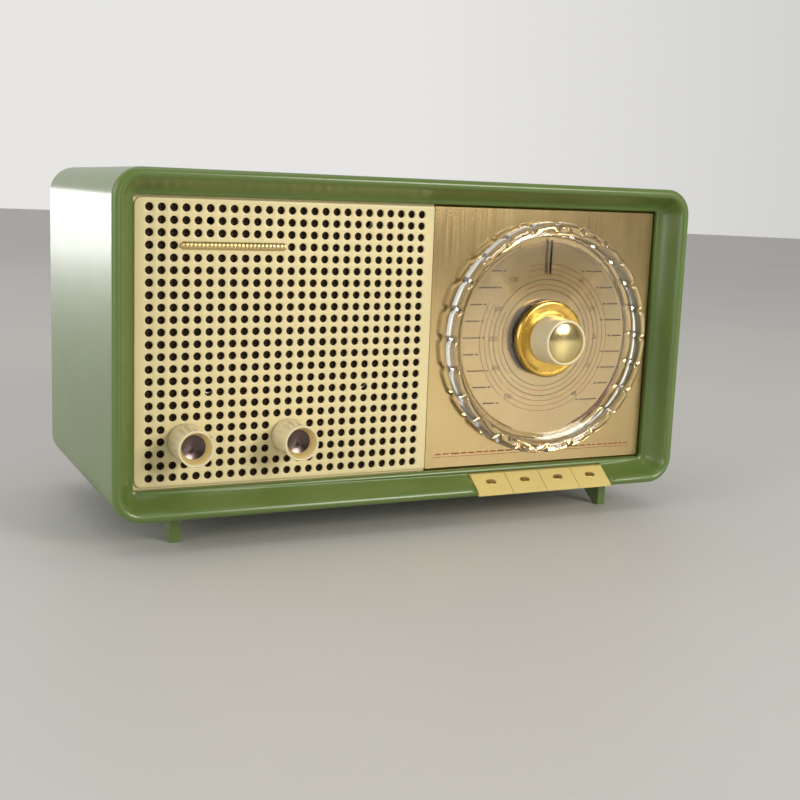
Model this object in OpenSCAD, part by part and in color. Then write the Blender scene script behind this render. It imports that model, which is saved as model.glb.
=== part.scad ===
/* [Cabinet] */
// Outer width of the cabinet
case_w = 272.5; // [255:0.5:300]
// Outer height of the cabinet, without the feet
case_h = 140.5; // [132:0.5:150]
// Depth of the cabinet from the front rim to the rear edge
case_d = 135; // [130:1:160]
// Outer corner radius of the cabinet
corner_r = 12; // [12:0.5:14]
// Thickness of the cabinet's walls
wall = 2.6; // [2:0.1:3]
// Width of the rim around the front panel
rim_w = 11.5; // [11:0.5:11.5]
// How far the rim stands ahead of the front panel
rim_out = 13.5; // [12:0.5:15]
// Height of the feet
foot_h = 13.25; // [10:0.25:16]

/* [Grille] */
// Distance between the centres of the grille's holes
hole_pitch = 5; // [4.6:0.1:5]
// Diameter of one grille hole
hole_d = 3.2; // [2:0.1:3.4]
// Number of hole columns
hole_cols = 25; // [25:1:25]
// Number of hole rows
hole_rows = 23; // [23:1:23]
// Thickness of the moulded grille panel
grille_t = 2; // [1.5:0.1:2]

/* [Dial] */
// Radius of the clear tuning disc
disc_r = 53.75; // [50:0.25:56]
// Number of grip notches around the disc's rim
disc_ribs = 24; // [20:1:30]
// How far the tuning knob stands ahead of the front panel
tuning_out = 20; // [18:0.5:22]
// Outer radius of the ring behind the tuning knob
ring_r = 17.75; // [15:0.25:19]

/* [Knobs and keys] */
// How far the small knobs stand ahead of the front panel
knob_out = 17.5; // [15:0.5:18]
// Radius of a small knob at its base
knob_base_r = 7.55; // [7.5:0.05:8]
// Radius of a small knob at its front
knob_front_r = 7.4; // [6.8:0.05:7.5]
// Distance between the centres of two keys
key_pitch = 18; // [17.8:0.1:18.2]
// Gap between two keys
key_gap = 0.3; // [0.3:0.05:0.4]
// Centre of the row of keys, to the right of the cabinet's centre
keys_x = 64.5; // [64:0.5:65]

/* [Works] */
// Radius of the loudspeaker's frame
speaker_r = 43; // [42:0.5:43]
// Radius at which the cord runs on the drive pulley
pulley_r = 8; // [7:0.5:8]
// Radius at which the cord runs on the capacitor's drum
drum_r = 16; // [15:0.5:16]

/* [Hidden] */

fine = 96;
medium = 48;
fit = 0.05; // radial clearance of a shaft in its bearing
gap = 0.3; // clearance between pieces that only pass each other

// Depth: the panel plane is the front face of the grille and the dial plate.
screw_head_h = 1.5;
back_d = case_d - rim_out; // cabinet's rear edge behind the panel plane
panel_y = (tuning_out - back_d - screw_head_h) / 2;
// Height and width of the panel opening
open_w = case_w - 2 * rim_w;
open_h = case_h - 2 * rim_w;
mid_z = foot_h + case_h / 2;
floor_z = foot_h + wall;
roof_z = foot_h + case_h - wall;
// The seam between grille and dial plate
seam_x = 7.5;
tuck = 2; // how far the panels reach behind the rim
rabbet = 0.9; // width and depth of the groove between the rim and the panels
// Grille holes
first_hole_x = -open_w / 2 + 6;
first_hole_z = mid_z + hole_pitch * (hole_rows - 1) / 2;
trim_row = 3;
trim_cols = [3, 11];
trim_r = 1.6;
knob_row = 19;
volume_col = 3;
tone_col = 12;
volume_x = first_hole_x + volume_col * hole_pitch;
tone_x = first_hole_x + tone_col * hole_pitch;
foot_x = 107;
knobs_z = first_hole_z - knob_row * hole_pitch;
shaft_r = 3;
bush_r = 4.5;
// Dial
dial_x = (seam_x + open_w / 2) / 2 + 0.75;
dial_z = mid_z;
dial_plate_t = 1.5;
disc_back = 2; // gap between dial plate and disc
disc_t = 2;
// Drive
drum_x = 100;
drum_z = foot_h + 59;
rotor_r = 2.5;
drive_d = 17; // depth of the cord's plane
cord_r = 0.4;
// Loudspeaker
speaker_x = (seam_x - open_w / 2) / 2;
speaker_z = foot_h + 86.5;
ear_gap = 34.5; // from the loudspeaker's centre to each fixing ear, both ways
cloth_t = 0.6;
basket_d = grille_t + cloth_t;
// Chassis deck
deck_z = foot_h + 35;
sheet_t = 1.2;
deck_top = deck_z + sheet_t;
deck_front = 20;
deck_back = 112;
apron_back = 95;
// Keys and switch
keys_n = 4;
hinge_d = 30;
hinge_z = foot_h + 11;
hinge_r = 1.5;
tail_len = 18;
tail_r = 1.5;
notch_top = foot_h + 8.9;
// Rear pieces
cover_t = 2.5;
cover_d = back_d - cover_t;
screw_x = 122;
screw_low_z = foot_h + 14.5;
screw_high_z = foot_h + 126;
boss_d = 98;
inlet_x = -92;
inlet_z = foot_h + 20;
pin_gap = 19;
pin_r = 2;
pin_shank_r = 1.6;
inlet_floor = 109;
strip_x = 96;
strip_z = foot_h + 51;
strip_gap = 12;
socket_r = 2.05;

// Places a child whose Z axis points forward, out of the front panel, at x, z and depth d.
module facing(x, z, d = 0) {
  translate([x, panel_y + d, z]) rotate([90, 0, 0]) children();
}

// A disc or tube whose axis runs front to back, between two depths behind the panel.
module round_bar(x, z, d1, d2, r, hole = 0) {
  facing(x, z, d2) difference() {
    cylinder(r = r, h = d2 - d1, $fn = fine);
    if (hole > 0) translate([0, 0, -1]) cylinder(r = hole, h = d2 - d1 + 2, $fn = fine);
  }
}

// A box between two corners, with depths counted from the panel plane.
module block(x1, x2, d1, d2, z1, z2) {
  translate([x1, panel_y + d1, z1]) cube([x2 - x1, d2 - d1, z2 - z1]);
}

// A profile of [distance from the corner's centre, forward] run round a rounded rectangle.
module frame_run(w, h, r, profile) {
  for (k = [0:3]) {
    across = k % 2 == 0 ? w : h;
    along = k % 2 == 0 ? h : w;
    rotate([0, -90 * k, 0]) translate([across / 2 - r, 0, 0]) rotate([180, 0, 0])
      linear_extrude(height = along - 2 * r, center = true) polygon(profile);
  }
  for (k = [0:3]) {
    sx = k == 0 || k == 3 ? 1 : -1;
    sz = k < 2 ? 1 : -1;
    translate([sx * (w / 2 - r), 0, sz * (h / 2 - r)]) rotate([90, 0, 0]) rotate([0, 0, 90 * k])
      rotate_extrude(angle = 90, $fn = fine) polygon(profile);
  }
}

function arc(cx, cy, r, a1, a2, n) = [for (i = [0:n]) let (a = a1 + (a2 - a1) * i / n)
  [cx + r * cos(a), cy + r * sin(a)]];

// Cabinet section: outer wall, rounded bead, hollow inward slope and a small step at the panel.
bead_r = 2.4;
back_edge_r = 1.2;
// From the bead to the panel and back inside: [distance from the outer face, forward].
rim_curve = [[3.2, 13.3], [3.9, 12.75], [4.4, 11.9], [4.9, 10.7], [5.4, 9.3], [5.9, 7.9], [6.5, 6.5],
  [7.2, 5.1], [8, 3.9], [8.9, 2.9], [9.8, 2.3], [rim_w - rabbet, 2], [rim_w - rabbet, -rabbet],
  [7.9, -rabbet], [7.1, 1.4], [5.4, 4.4], [4.2, 7.2], [3.2, 9.2], [wall, 9.6]];
function cabinet_profile() = concat(
  [[corner_r - wall, -back_d]],
  arc(corner_r - back_edge_r, -back_d + back_edge_r, back_edge_r, -90, 0, 4),
  arc(corner_r - bead_r, rim_out - bead_r, bead_r, 0, 90, 10),
  [for (p = rim_curve) [corner_r - p[0], p[1] + rim_out - 13.5]]);

module screw_boss(x, z) {
  half_rib = 1.25;
  side = sign(x) * (case_w / 2 - 1);
  end = z > mid_z ? roof_z + 1 : floor_z - 1;
  round_bar(x, z, boss_d, cover_d, 5);
  block(min(x, side), max(x, side), boss_d, cover_d, z - half_rib, z + half_rib);
  block(x - half_rib, x + half_rib, boss_d, cover_d, min(z, end), max(z, end));
}

module cabinet() {
  color([0.44, 0.52, 0.27]) difference() {
    union() {
      translate([0, panel_y, mid_z]) frame_run(case_w, case_h, corner_r, cabinet_profile());
      for (sx = [-1, 1], z = [screw_low_z, screw_high_z]) screw_boss(sx * screw_x, z);
    }
    for (sx = [-1, 1], z = [screw_low_z, screw_high_z])
      round_bar(sx * screw_x, z, 104, cover_d + 1, 1.6);
    chassis_holes(1.9);
    half = keys_n * key_pitch / 2 + gap;
    block(keys_x - half, keys_x + half, -30, 14, 0, notch_top);
    // The rim is scooped out beside the keys, level with their faces.
    scoop = half + 3;
    translate([keys_x - scoop, panel_y, 0]) rotate([90, 0, 90]) linear_extrude(height = 2 * scoop)
      polygon(concat(key_face(0), [[-30, key_face(0)[1][1]], [-30, notch_top]]));
  }
}

function open_hole(c, r) =
  !(r == trim_row && c >= trim_cols[0] && c <= trim_cols[1])
  && !(abs(r - knob_row) <= 1 && (abs(c - volume_col) <= 1 || abs(c - tone_col) <= 1));

// Cuts the step that leaves a groove between a panel's raised middle and the rim.
module panel_rabbet() {
  difference() {
    block(-open_w, open_w, -1, rabbet, mid_z - open_h, mid_z + open_h);
    block(-open_w / 2, open_w / 2, -2, rabbet + 1, mid_z - open_h / 2, mid_z + open_h / 2);
  }
}

module grille_panel() {
  color([0.88, 0.8, 0.6]) union() {
    difference() {
      facing(0, 0, grille_t) linear_extrude(height = grille_t) difference() {
        translate([-open_w / 2 - tuck, mid_z - open_h / 2 - tuck])
          square([seam_x - 0.1 + open_w / 2 + tuck, open_h + 2 * tuck]);
        for (c = [0:hole_cols - 1], r = [0:hole_rows - 1]) if (open_hole(c, r))
          translate([first_hole_x + c * hole_pitch, first_hole_z - r * hole_pitch])
            circle(d = hole_d, $fn = 24);
        for (x = [volume_x, tone_x]) translate([x, knobs_z]) circle(r = bush_r + 0.1, $fn = medium);
      }
      panel_rabbet();
    }
    // Heat-staked posts hold the loudspeaker's ears.
    for (sx = [-1, 1], sz = [-1, 1]) {
      x = speaker_x + sx * ear_gap;
      z = speaker_z + sz * ear_gap;
      round_bar(x, z, grille_t, basket_d + 1.6, 2.2);
      round_bar(x, z, basket_d + 1.6, basket_d + 3, 3.6);
    }
  }
}

module trim_bar() {
  x1 = first_hole_x + trim_cols[0] * hole_pitch - 1;
  x2 = first_hole_x + trim_cols[1] * hole_pitch + 1;
  z = first_hole_z - trim_row * hole_pitch;
  color([0.85, 0.7, 0.4]) {
    block(x1, x2, -1.2, 0, z - trim_r, z + trim_r);
    for (x = [x1, x2]) facing(x, z, 0) cylinder(r = trim_r, h = 1.2, $fn = medium);
  }
}

module speaker_cloth() {
  margin = 1.5;
  color([0.3, 0.22, 0.12]) facing(0, 0, grille_t + cloth_t)
    linear_extrude(height = cloth_t) difference() {
      translate([-open_w / 2 + margin, mid_z - open_h / 2])
        square([seam_x + open_w / 2 - 2 * margin, open_h]);
      for (x = [volume_x, tone_x]) translate([x, knobs_z]) circle(r = bush_r + gap, $fn = medium);
      for (sx = [-1, 1], sz = [-1, 1])
        translate([speaker_x + sx * ear_gap, speaker_z + sz * ear_gap]) circle(r = 2.4, $fn = medium);
    }
}

module dial_plate() {
  color([0.8, 0.7, 0.47]) difference() {
    facing(0, 0, dial_plate_t) linear_extrude(height = dial_plate_t) difference() {
      translate([seam_x + 0.1, mid_z - open_h / 2 - tuck])
        square([open_w / 2 + tuck - seam_x - 0.1, open_h + 2 * tuck]);
      translate([dial_x, dial_z]) circle(r = 5.1, $fn = medium);
    }
    panel_rabbet();
  }
}

// A foot is a thin upright blade: one edge is vertical, the other slants up to the cabinet.
module foot(x, d_edge, d_top) {
  t = 4;
  tip = d_edge + sign(d_top - d_edge) * 4.5;
  translate([x - t / 2, 0, 0]) rotate([90, 0, 90]) linear_extrude(height = t)
    polygon([[panel_y + d_edge, 0], [panel_y + tip, 0], [panel_y + d_top, foot_h],
             [panel_y + d_edge, foot_h]]);
}

module front_feet() {
  color([0.42, 0.5, 0.26]) for (sx = [-1, 1]) foot(sx * foot_x, 2, 27);
}

module rear_feet() {
  color([0.42, 0.5, 0.26]) for (sx = [-1, 1]) foot(sx * foot_x, 112, 94);
}

module back_cover() {
  slot_w = 3;
  w = case_w - 2 * wall - 0.6;
  h = case_h - 2 * wall - 0.6;
  r = corner_r - wall - 0.3;
  color([0.3, 0.27, 0.22]) facing(0, mid_z, back_d) linear_extrude(height = cover_t) difference() {
    union() {
      square([w - 2 * r, h], center = true);
      square([w, h - 2 * r], center = true);
      for (sx = [-1, 1], sz = [-1, 1])
        translate([sx * (w / 2 - r), sz * (h / 2 - r)]) circle(r = r, $fn = fine);
    }
    for (row = [0:2], c = [0:25])
      if (!(row == 0 && (c < 9 || c > 16)) && !(row == 1 && c > 22))
        translate([-94 + c * 7.52, -40 + row * 34]) square([slot_w, 24], center = true);
    for (sx = [-1, 1], z = [screw_low_z, screw_high_z])
      translate([sx * screw_x, z - mid_z]) circle(r = 1.8, $fn = medium);
    translate([inlet_x, inlet_z - mid_z]) square([34.6, 16.6], center = true);
    translate([strip_x, strip_z - mid_z]) square([strip_gap + 12, 10], center = true);
  }
}

module back_screws() {
  color([0.7, 0.7, 0.68]) for (sx = [-1, 1], z = [screw_low_z, screw_high_z]) {
    x = sx * screw_x;
    difference() {
      round_bar(x, z, back_d, back_d + screw_head_h, 3.2);
      block(x - 4, x + 4, back_d + 0.8, back_d + 4, z - 0.4, z + 0.4);
    }
    round_bar(x, z, 106, back_d, 1.5);
  }
}

// Two-pin mains inlet in a recessed housing behind the back cover.
module mains_inlet() {
  color([0.16, 0.13, 0.11]) difference() {
    block(inlet_x - 17, inlet_x + 17, 106, back_d, inlet_z - 8, inlet_z + 8);
    block(inlet_x - 15, inlet_x + 15, inlet_floor, back_d + 1, inlet_z - 6, inlet_z + 6);
    for (sx = [-1, 1])
      round_bar(inlet_x + sx * pin_gap / 2, inlet_z, 100, inlet_floor + 1, pin_shank_r + fit);
  }
}

// Each pin is a round contact on a thinner shank, which goes through the housing's floor.
module inlet_pins() {
  color([0.75, 0.65, 0.4]) for (sx = [-1, 1]) {
    round_bar(inlet_x + sx * pin_gap / 2, inlet_z, 101, inlet_floor, pin_shank_r);
    round_bar(inlet_x + sx * pin_gap / 2, inlet_z, inlet_floor, inlet_floor + 10.5, pin_r);
  }
}

// Aerial and earth sockets in a moulded strip.
module socket_strip() {
  color([0.16, 0.13, 0.11]) difference() {
    block(strip_x - 14, strip_x + 14, 108, cover_d, strip_z - 8, strip_z + 8);
    for (sx = [-1, 1]) round_bar(strip_x + sx * strip_gap / 2, strip_z, 109, cover_d + 1, socket_r);
  }
}

// Holes for the four screws that hold the chassis down on the cabinet's floor.
module chassis_holes(r) {
  for (p = screw_places()) translate([p[0], panel_y + p[1], foot_h - 1])
    cylinder(r = r, h = 8, $fn = medium);
}

module chassis() {
  edge = 122.4;
  color([0.72, 0.72, 0.7]) {
    difference() {
      union() {
        block(-edge, edge, deck_front, deck_back, deck_z, deck_top);
        for (sx = [-1, 1])
          block(sx * edge - sheet_t / 2, sx * edge + sheet_t / 2, deck_front, apron_back, floor_z,
            deck_top);
        for (sx = [-1, 1]) block(sx * (edge - 7) - 7, sx * (edge - 7) + 7, deck_front, apron_back,
            floor_z, floor_z + sheet_t);
      }
      chassis_holes(1.6);
    }
  }
}

function screw_places() = [for (x = [-114, 114], d = [30, 78]) [x, d]];

module chassis_screws() {
  color([0.7, 0.7, 0.68]) for (p = screw_places()) translate([p[0], panel_y + p[1], foot_h]) {
    translate([0, 0, -1.6]) cylinder(r = 3.5, h = 1.6, $fn = medium);
    cylinder(r = 1.5, h = 6, $fn = medium);
  }
}

function valve_places() = [[8, 92], [38, 92], [68, 92], [98, 92]];

module valve_sockets() {
  color([0.2, 0.17, 0.14]) for (p = valve_places()) translate([p[0], panel_y + p[1], deck_top])
    difference() {
      cylinder(r = 11, h = 6, $fn = medium);
      translate([0, 0, 3]) cylinder(r = 9.7, h = 4, $fn = medium);
    }
}

// A glass valve: a hollow tube with a domed top and a small exhaust tip.
module valves() {
  r = 9.4;
  t = 0.9;
  h = 36;
  color([0.85, 0.88, 0.9, 0.5]) for (p = valve_places())
    translate([p[0], panel_y + p[1], deck_top + 3]) rotate_extrude($fn = medium)
      polygon(concat([[0, 0], [r, 0]], arc(0, h, r, 0, 78, 8), [[1, h + r + 3], [0, h + r + 3.6],
        [0, h + r - t]], arc(0, h, r - t, 80, 0, 8), [[r - t, t], [0, t]]));
}

module speaker_basket() {
  flange_t = 1.6;
  color([0.62, 0.63, 0.62]) {
    difference() {
      union() {
        round_bar(speaker_x, speaker_z, basket_d, basket_d + flange_t, speaker_r);
        for (sx = [-1, 1], sz = [-1, 1])
          round_bar(speaker_x + sx * ear_gap, speaker_z + sz * ear_gap, basket_d, basket_d + flange_t, 6);
      }
      round_bar(speaker_x, speaker_z, 0, 10, speaker_r - 4.5);
      for (sx = [-1, 1], sz = [-1, 1])
        round_bar(speaker_x + sx * ear_gap, speaker_z + sz * ear_gap, 0, 10, 2.3);
    }
    // Four arms run back from the flange to the ring at the magnet.
    for (a = [0:90:270]) facing(speaker_x, speaker_z) rotate([0, 0, a])
      translate([0, 7, 0]) rotate([90, 0, 0]) linear_extrude(height = 14)
        polygon([[speaker_r - 4, -basket_d - flange_t], [speaker_r - 0.5, -basket_d - flange_t],
          [speaker_r - 2, -8], [22, -24], [17, -24], [17, -22.4], [21, -22.4],
          [speaker_r - 4.5, -8]]);
    round_bar(speaker_x, speaker_z, 22.4, 24, 19, 12);
  }
}

voice_in = 9.2;
voice_out = 10.8;

module speaker_magnet() {
  color([0.35, 0.35, 0.36]) facing(speaker_x, speaker_z, 48) rotate_extrude($fn = fine)
    polygon([[0, 0], [16, 0], [20, 2], [20, 21], [22, 21], [22, 24], [voice_out, 24],
      [voice_out, 9], [voice_in, 9], [voice_in, 24], [0, 24]]);
}

// Paper cone with a rolled edge, a centre cap and the voice coil's tube.
module speaker_cone() {
  edge_r = speaker_r - 5;
  roll_r = edge_r - 4;
  color([0.18, 0.17, 0.16]) facing(speaker_x, speaker_z) rotate_extrude($fn = fine)
    polygon(concat([[edge_r, -6.2], [edge_r, -6.8]], arc(roll_r, -6.8, 1.6, 0, 180, 6),
      [[12, -20.4], [10.4, -20.4], [10.4, -34], [9.7, -34], [9.7, -18.6], [0, -15], [0, -14.4],
       [11.6, -18.6], [roll_r - 3, -6.4]], arc(roll_r, -6.2, 2.2, 180, 0, 6)));
}

// The tuning capacitor stands on the deck: two end plates joined by a base.
module capacitor_frame() {
  color([0.7, 0.7, 0.68]) difference() {
    union() {
      for (d = [25, 60]) block(drum_x - 17, drum_x + 17, d, d + 1.5, deck_top, drum_z + 17);
      block(drum_x - 17, drum_x + 17, 26.5, 60, deck_top, deck_top + 1.5);
    }
    round_bar(drum_x, drum_z, 20, 70, rotor_r + fit);
  }
}

module half_plate(r, t) {
  linear_extrude(height = t) intersection() {
    circle(r = r, $fn = medium);
    translate([-r, 0]) square([2 * r, r]);
  }
}

module capacitor_stator() {
  color([0.8, 0.8, 0.78]) {
    for (i = [0:8]) facing(drum_x, drum_z, 30.8 + i * 3) linear_extrude(height = 0.8) difference() {
      translate([-16.5, -15.5]) square([33, 14]);
      circle(r = 5, $fn = medium);
    }
    for (x = [-15.6, 15.6]) round_bar(drum_x + x, drum_z - 13, 26.5, 60, 0.9);
  }
}

module capacitor_rotor() {
  color([0.8, 0.8, 0.78]) {
    round_bar(drum_x, drum_z, 12, 63, rotor_r);
    for (i = [0:7]) facing(drum_x, drum_z, 32.3 + i * 3) rotate([0, 0, -90]) half_plate(14, 0.8);
  }
}

// A grooved wheel for the drive cord.
module grooved_wheel(r, x, z, bore) {
  facing(x, z, drive_d) rotate_extrude($fn = fine)
    polygon([[bore, -3], [r + 2, -3], [r + 2, -1.6], [r - 0.7, -0.9], [r - 0.7, 0.9],
      [r + 2, 1.6], [r + 2, 3], [bore, 3]]);
}

module drive_pulley() {
  color([0.78, 0.66, 0.4]) grooved_wheel(pulley_r, dial_x, dial_z, shaft_r);
}

module drive_drum() {
  color([0.86, 0.84, 0.78]) grooved_wheel(drum_r, drum_x, drum_z, rotor_r + 0.03);
}

// The cord: two straight runs tangent to both wheels, and an arc round each.
module drive_cord() {
  dx = drum_x - dial_x;
  dz = drum_z - dial_z;
  lean = atan2(dz, dx);
  spread = 90 + asin((drum_r - pulley_r) / sqrt(dx * dx + dz * dz));
  function loop(out) = concat(
    arc(0, 0, pulley_r + out, lean + spread, lean + 360 - spread, 12),
    arc(dx, dz, drum_r + out, lean - spread, lean + spread, 28));
  color([0.85, 0.8, 0.7]) facing(dial_x, dial_z, drive_d + cord_r)
    linear_extrude(height = 2 * cord_r) difference() {
      polygon(loop(cord_r));
      polygon(loop(-cord_r));
    }
}

module control(x) {
  difference() {
    union() {
      round_bar(x, knobs_z, basket_d, 13, 11);
      round_bar(x, knobs_z, -3, basket_d, bush_r);
      facing(x, knobs_z, 0) cylinder(r = 6.5, h = 2, $fn = 6);
      block(x - 6, x + 6, 4, 10, knobs_z - 14, knobs_z - 9);
    }
    round_bar(x, knobs_z, -4, 12, shaft_r + fit);
  }
}

module volume_control() {
  color([0.66, 0.66, 0.64]) control(volume_x);
}

module tone_control() {
  color([0.66, 0.66, 0.64]) control(tone_x);
}

module knob_shaft(x) {
  round_bar(x, knobs_z, -knob_out + 6.2, 11.5, shaft_r);
}

module volume_shaft() {
  color([0.75, 0.75, 0.73]) knob_shaft(volume_x);
}

module tone_shaft() {
  color([0.75, 0.75, 0.73]) knob_shaft(tone_x);
}

insert_r = 5.8;
insert_depth = 4.5;

// A small knob: a tapered cup with a rounded front edge, hollow behind for nut and bush.
module small_knob(x) {
  f = knob_out;
  facing(x, knobs_z) rotate_extrude($fn = fine)
    polygon(concat([[7, 0.8], [knob_base_r, 0.8], [knob_front_r + 0.02, f - 0.8]],
      arc(knob_front_r - 0.45, f - 0.45, 0.45, 0, 180, 6),
      [[insert_r + fit, f - insert_depth], [insert_r + fit, f - insert_depth - 1.2],
       [shaft_r, f - insert_depth - 1.2], [shaft_r, 4], [7, 4]]));
}

module knob_insert(x) {
  facing(x, knobs_z, -knob_out + insert_depth + 1.2)
    cylinder(r = insert_r, h = 1.2, $fn = fine);
}

module volume_knob() {
  color([0.93, 0.87, 0.7]) small_knob(volume_x);
}

module tone_knob() {
  color([0.93, 0.87, 0.7]) small_knob(tone_x);
}

module volume_insert() {
  color([0.4, 0.35, 0.36]) knob_insert(volume_x);
}

module tone_insert() {
  color([0.4, 0.35, 0.36]) knob_insert(tone_x);
}

// Clear disc: flat web, thick rounded rim and grip notches all round.
rim_band = 6.3;
rim_step = 1.2;
web_r = disc_r - rim_band - 2;

module dial_disc() {
  bead = rim_band / 2;
  rim_back = disc_back + rim_step;
  color([0.9, 0.92, 0.9, 0.4]) facing(dial_x, dial_z) difference() {
    rotate_extrude($fn = fine) polygon(concat([[4, disc_back], [web_r, disc_back],
      [disc_r - rim_band, rim_back], [disc_r, rim_back]],
      arc(disc_r - bead, rim_back + 1.4, bead, 0, 180, 12),
      [[web_r, disc_back + disc_t], [4, disc_back + disc_t]]));
    for (k = [0:disc_ribs - 1]) rotate([0, 0, k * 360 / disc_ribs])
      translate([disc_r + 0.6, 0, 0]) cylinder(r = 1.6, h = 10, $fn = 24);
  }
}

module pointer() {
  color([0.25, 0.12, 0.1]) block(dial_x - 0.5, dial_x + 0.5, -disc_back, -disc_back + 0.4,
    dial_z + 30, dial_z + web_r);
}

ring_front = 6.4;

module knob_ring() {
  color([0.82, 0.58, 0.22]) facing(dial_x, dial_z) rotate_extrude($fn = fine)
    polygon([[shaft_r, 4], [ring_r, 4], [ring_r, 5.4], [ring_r - 0.8, ring_front], [shaft_r, ring_front]]);
}

knob_r = 10.3;
dome_r = 9.1;

module tuning_knob() {
  f = tuning_out - 0.4;
  color([0.93, 0.87, 0.7]) facing(dial_x, dial_z) rotate_extrude($fn = fine)
    polygon(concat([[shaft_r, ring_front], [knob_r + 0.95, ring_front], [knob_r, f - 1]],
      arc(knob_r - 0.6, f - 0.6, 0.6, 0, 90, 5),
      [[dome_r + fit, f], [dome_r + fit, f - 1.4], [shaft_r, f - 1.4]]));
}

// A shallow dome set into the front of the tuning knob.
module knob_dome() {
  rise = 1.2;
  ball = (dome_r * dome_r + rise * rise) / (2 * rise);
  color([0.85, 0.72, 0.4]) facing(dial_x, dial_z) rotate_extrude($fn = fine)
    polygon(concat([[0, tuning_out - 1.8], [dome_r, tuning_out - 1.8]],
      [for (i = [0:8]) let (x = dome_r * (1 - i / 8))
        [x, tuning_out - ball + sqrt(ball * ball - x * x)]]));
}

module dial_spindle() {
  color([0.75, 0.75, 0.73]) round_bar(dial_x, dial_z, -tuning_out + 2, 23, shaft_r);
}

module spindle_bush() {
  color([0.78, 0.66, 0.4]) {
    round_bar(dial_x, dial_z, -1.2, 0, 9, shaft_r + fit);
    round_bar(dial_x, dial_z, 0, 11, 5, shaft_r + fit);
    facing(dial_x, dial_z, dial_plate_t + 3) difference() {
      cylinder(r = 8, h = 3, $fn = 6);
      translate([0, 0, -1]) cylinder(r = 5, h = 5, $fn = medium);
    }
  }
}

function key_x(k) = keys_x + (k - 2.5) * key_pitch;

// The sloping face of a key, [forward, height], lowered by a gap below the notch in the rim.
function key_face(drop) = [[-5, notch_top - drop], [-13.9, foot_h + 2.2 - drop]];

// A key: sloping face and front, then an arm back to the hinge rod and a tail up to its slide.
module key(k) {
  w = key_pitch - key_gap;
  top = notch_top - 0.5;
  arm_w = 9;
  tail_w = 3;
  x = key_x(k);
  color([0.96, 0.9, 0.66]) difference() {
    union() {
      translate([x - w / 2, panel_y, 0]) rotate([90, 0, 90]) linear_extrude(height = w)
        polygon(concat(key_face(0.5), [[-14.3, foot_h + 1.1], [-14.1, foot_h + 0.3],
          [3, foot_h + 0.3], [3, top]]));
      translate([x - arm_w / 2, panel_y, 0]) rotate([90, 0, 90]) linear_extrude(height = arm_w)
        polygon([[2, top - 2.6], [26, top - 2.6], [hinge_d, hinge_z - 3.4], [hinge_d, hinge_z + 3.4],
          [26, top + 0.4], [2, top]]);
      translate([x - arm_w / 2, panel_y + hinge_d, hinge_z]) rotate([0, 90, 0])
        cylinder(r = 3.6, h = arm_w, $fn = medium);
      block(x - tail_w / 2, x + tail_w / 2, hinge_d - 1.2, hinge_d + 1.2, hinge_z,
        hinge_z + tail_len);
      translate([x - tail_w / 2, panel_y + hinge_d, hinge_z + tail_len]) rotate([0, 90, 0])
        cylinder(r = tail_r, h = tail_w, $fn = medium);
    }
    translate([x - arm_w, panel_y + hinge_d, hinge_z]) rotate([0, 90, 0])
      cylinder(r = hinge_r + fit, h = 2 * arm_w, $fn = medium);
  }
}

module key_1() { key(1); }
module key_2() { key(2); }
module key_3() { key(3); }
module key_4() { key(4); }

slide_z = hinge_z + tail_len - 1.4;
slide_w = 7;

// A switch slide: a flat bar with a slot for its key's tail.
module switch_slide(k) {
  x = key_x(k);
  slot = tail_r + 0.35;
  color([0.72, 0.5, 0.28]) difference() {
    block(x - slide_w / 2, x + slide_w / 2, 25, 80, slide_z, slide_z + 2.8);
    block(x - 1.9, x + 1.9, hinge_d - slot, hinge_d + slot, slide_z - 1, slide_z + 4);
  }
}

module switch_slide_1() { switch_slide(1); }
module switch_slide_2() { switch_slide(2); }
module switch_slide_3() { switch_slide(3); }
module switch_slide_4() { switch_slide(4); }

module key_hinge_rod() {
  color([0.75, 0.75, 0.73]) translate([keys_x - 40, panel_y + hinge_d, hinge_z]) rotate([0, 90, 0])
    cylinder(r = hinge_r, h = 80, $fn = medium);
}

// One torsion spring beside each key's boss: a coil round the rod, a leg up and a leg forward.
module key_springs() {
  coil_r = 2.4;
  coil_len = 3.2;
  wire = 0.8;
  reach = 6;
  drop = 3.9;
  color([0.6, 0.6, 0.6]) for (k = [1:keys_n])
    translate([key_x(k) + 5, panel_y + hinge_d, hinge_z]) {
      rotate([0, 90, 0]) difference() {
        cylinder(r = coil_r + wire / 2, h = coil_len, $fn = medium);
        translate([0, 0, -1]) cylinder(r = coil_r - wire / 2, h = coil_len + 2, $fn = medium);
        for (i = [1:3]) translate([0, 0, i * wire]) rotate_extrude($fn = medium)
          translate([coil_r + wire / 2, 0]) rotate([0, 0, 45]) square(0.25, center = true);
      }
      translate([0, 0, -coil_r]) rotate([atan2(reach, -drop), 0, 0])
        translate([0, -wire / 2, 0]) cube([wire, wire, sqrt(reach * reach + drop * drop)]);
      translate([coil_len - wire, coil_r - wire / 2, 0]) cube([wire, wire, 9]);
    }
}

latch_d = 43;

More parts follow.
